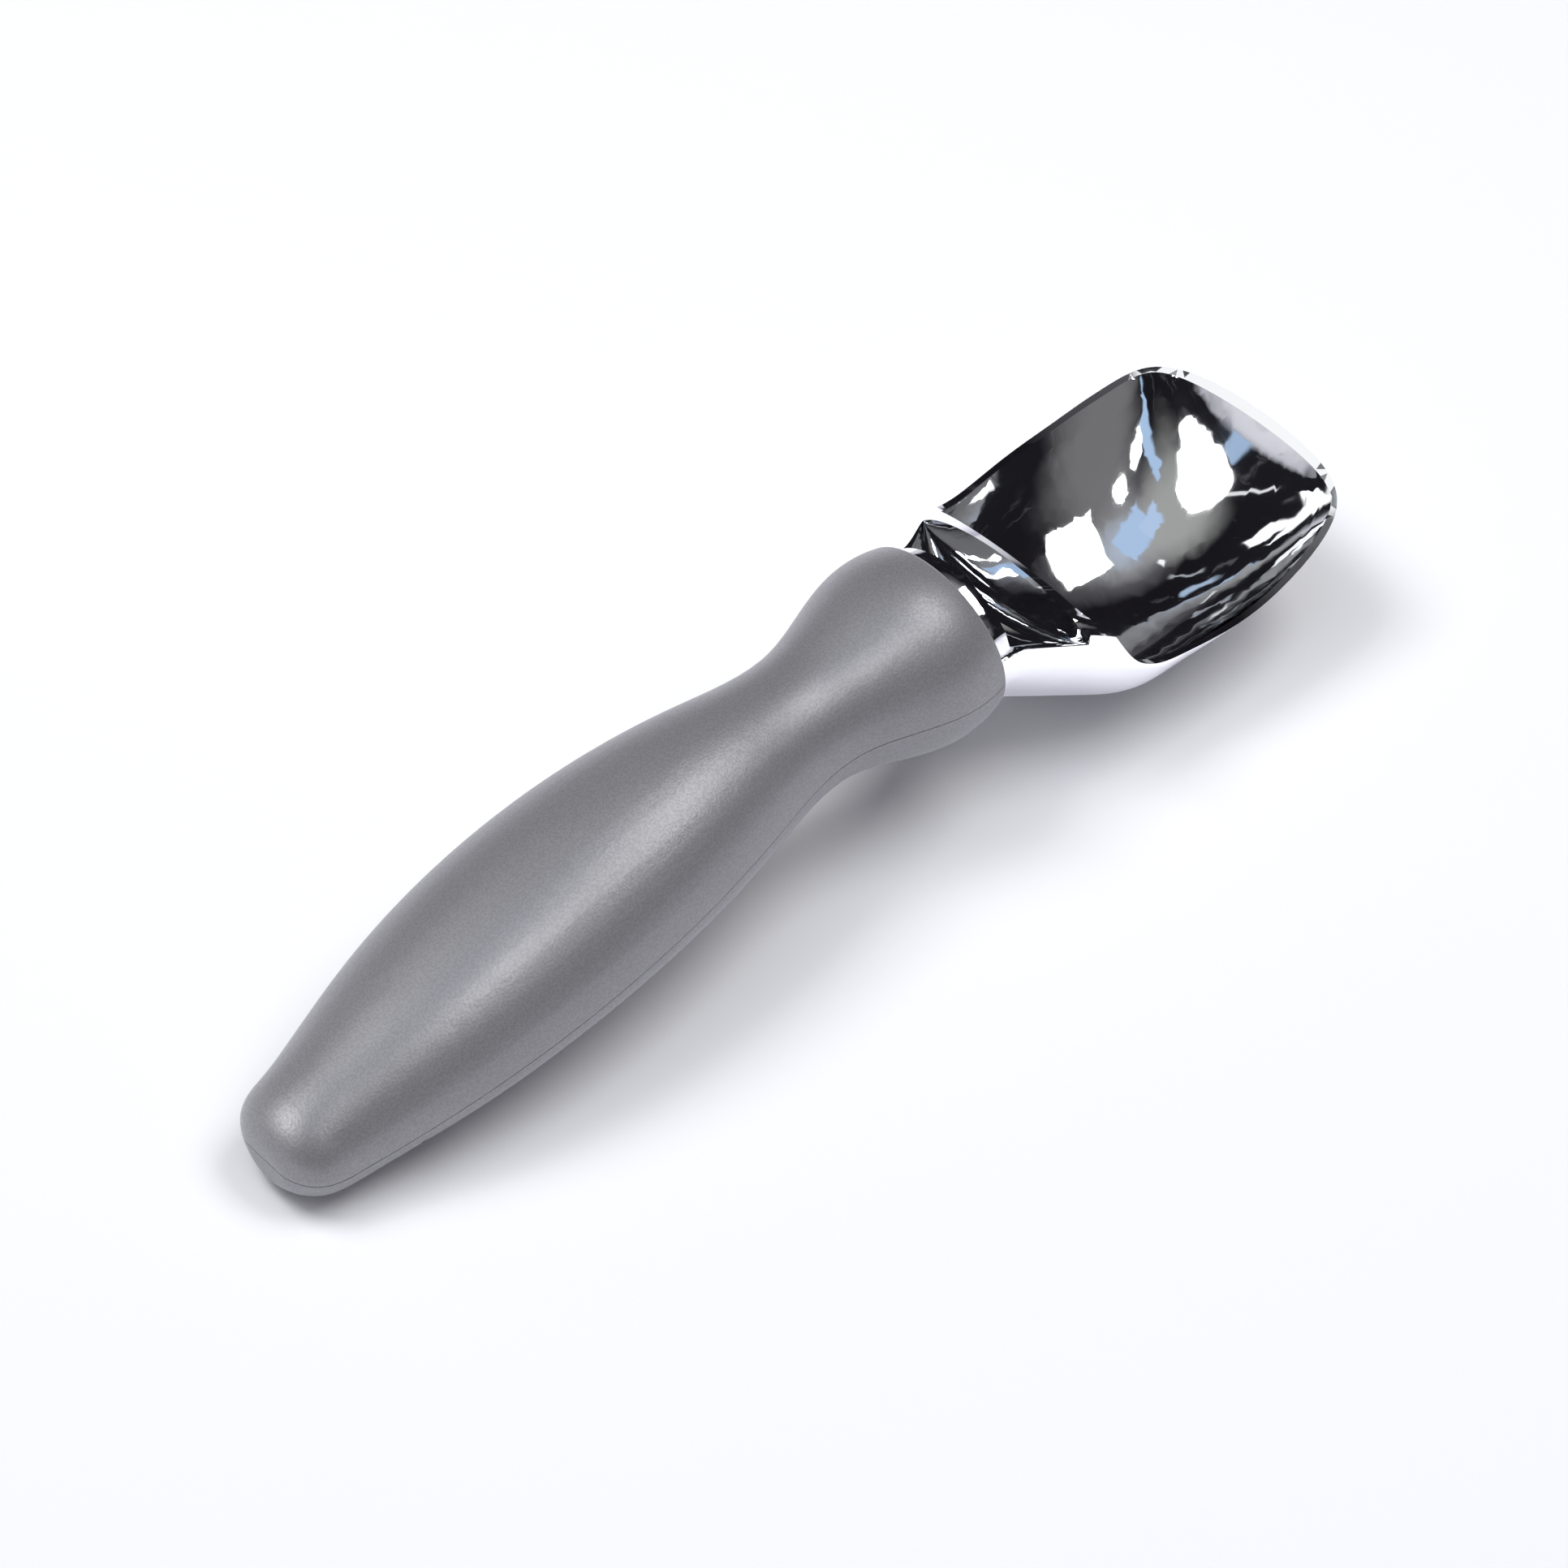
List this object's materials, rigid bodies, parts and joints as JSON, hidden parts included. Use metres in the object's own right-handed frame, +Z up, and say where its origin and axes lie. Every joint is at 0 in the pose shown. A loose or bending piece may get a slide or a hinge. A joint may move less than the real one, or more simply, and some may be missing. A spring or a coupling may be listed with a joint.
{
  "type": "ice cream scoop",
  "caption": "Fixed ice cream scoop: a deep open chrome bowl with a ridge and scooped neck behind it, on a swelling soft-touch handle with a notch under its butt.",
  "frame": {"origin": "centre of the bounding box in plan, on the table that the scoop rests on", "axes": "+X from the butt of the handle to the tip of the bowl, +Y to the left, +Z up, out of the bowl"},
  "size_m": [0.1754, 0.044, 0.0344],
  "materials": {
    "chrome": "polished plating",
    "core_plastic": "moulded, hidden",
    "soft_grip": "soft-touch satin"
  },
  "bodies": {
    "root": {"scoop_head": "chrome", "handle_core": "core_plastic", "grip_upper": "soft_grip", "grip_lower": "soft_grip"}
  },
  "joints": []
}
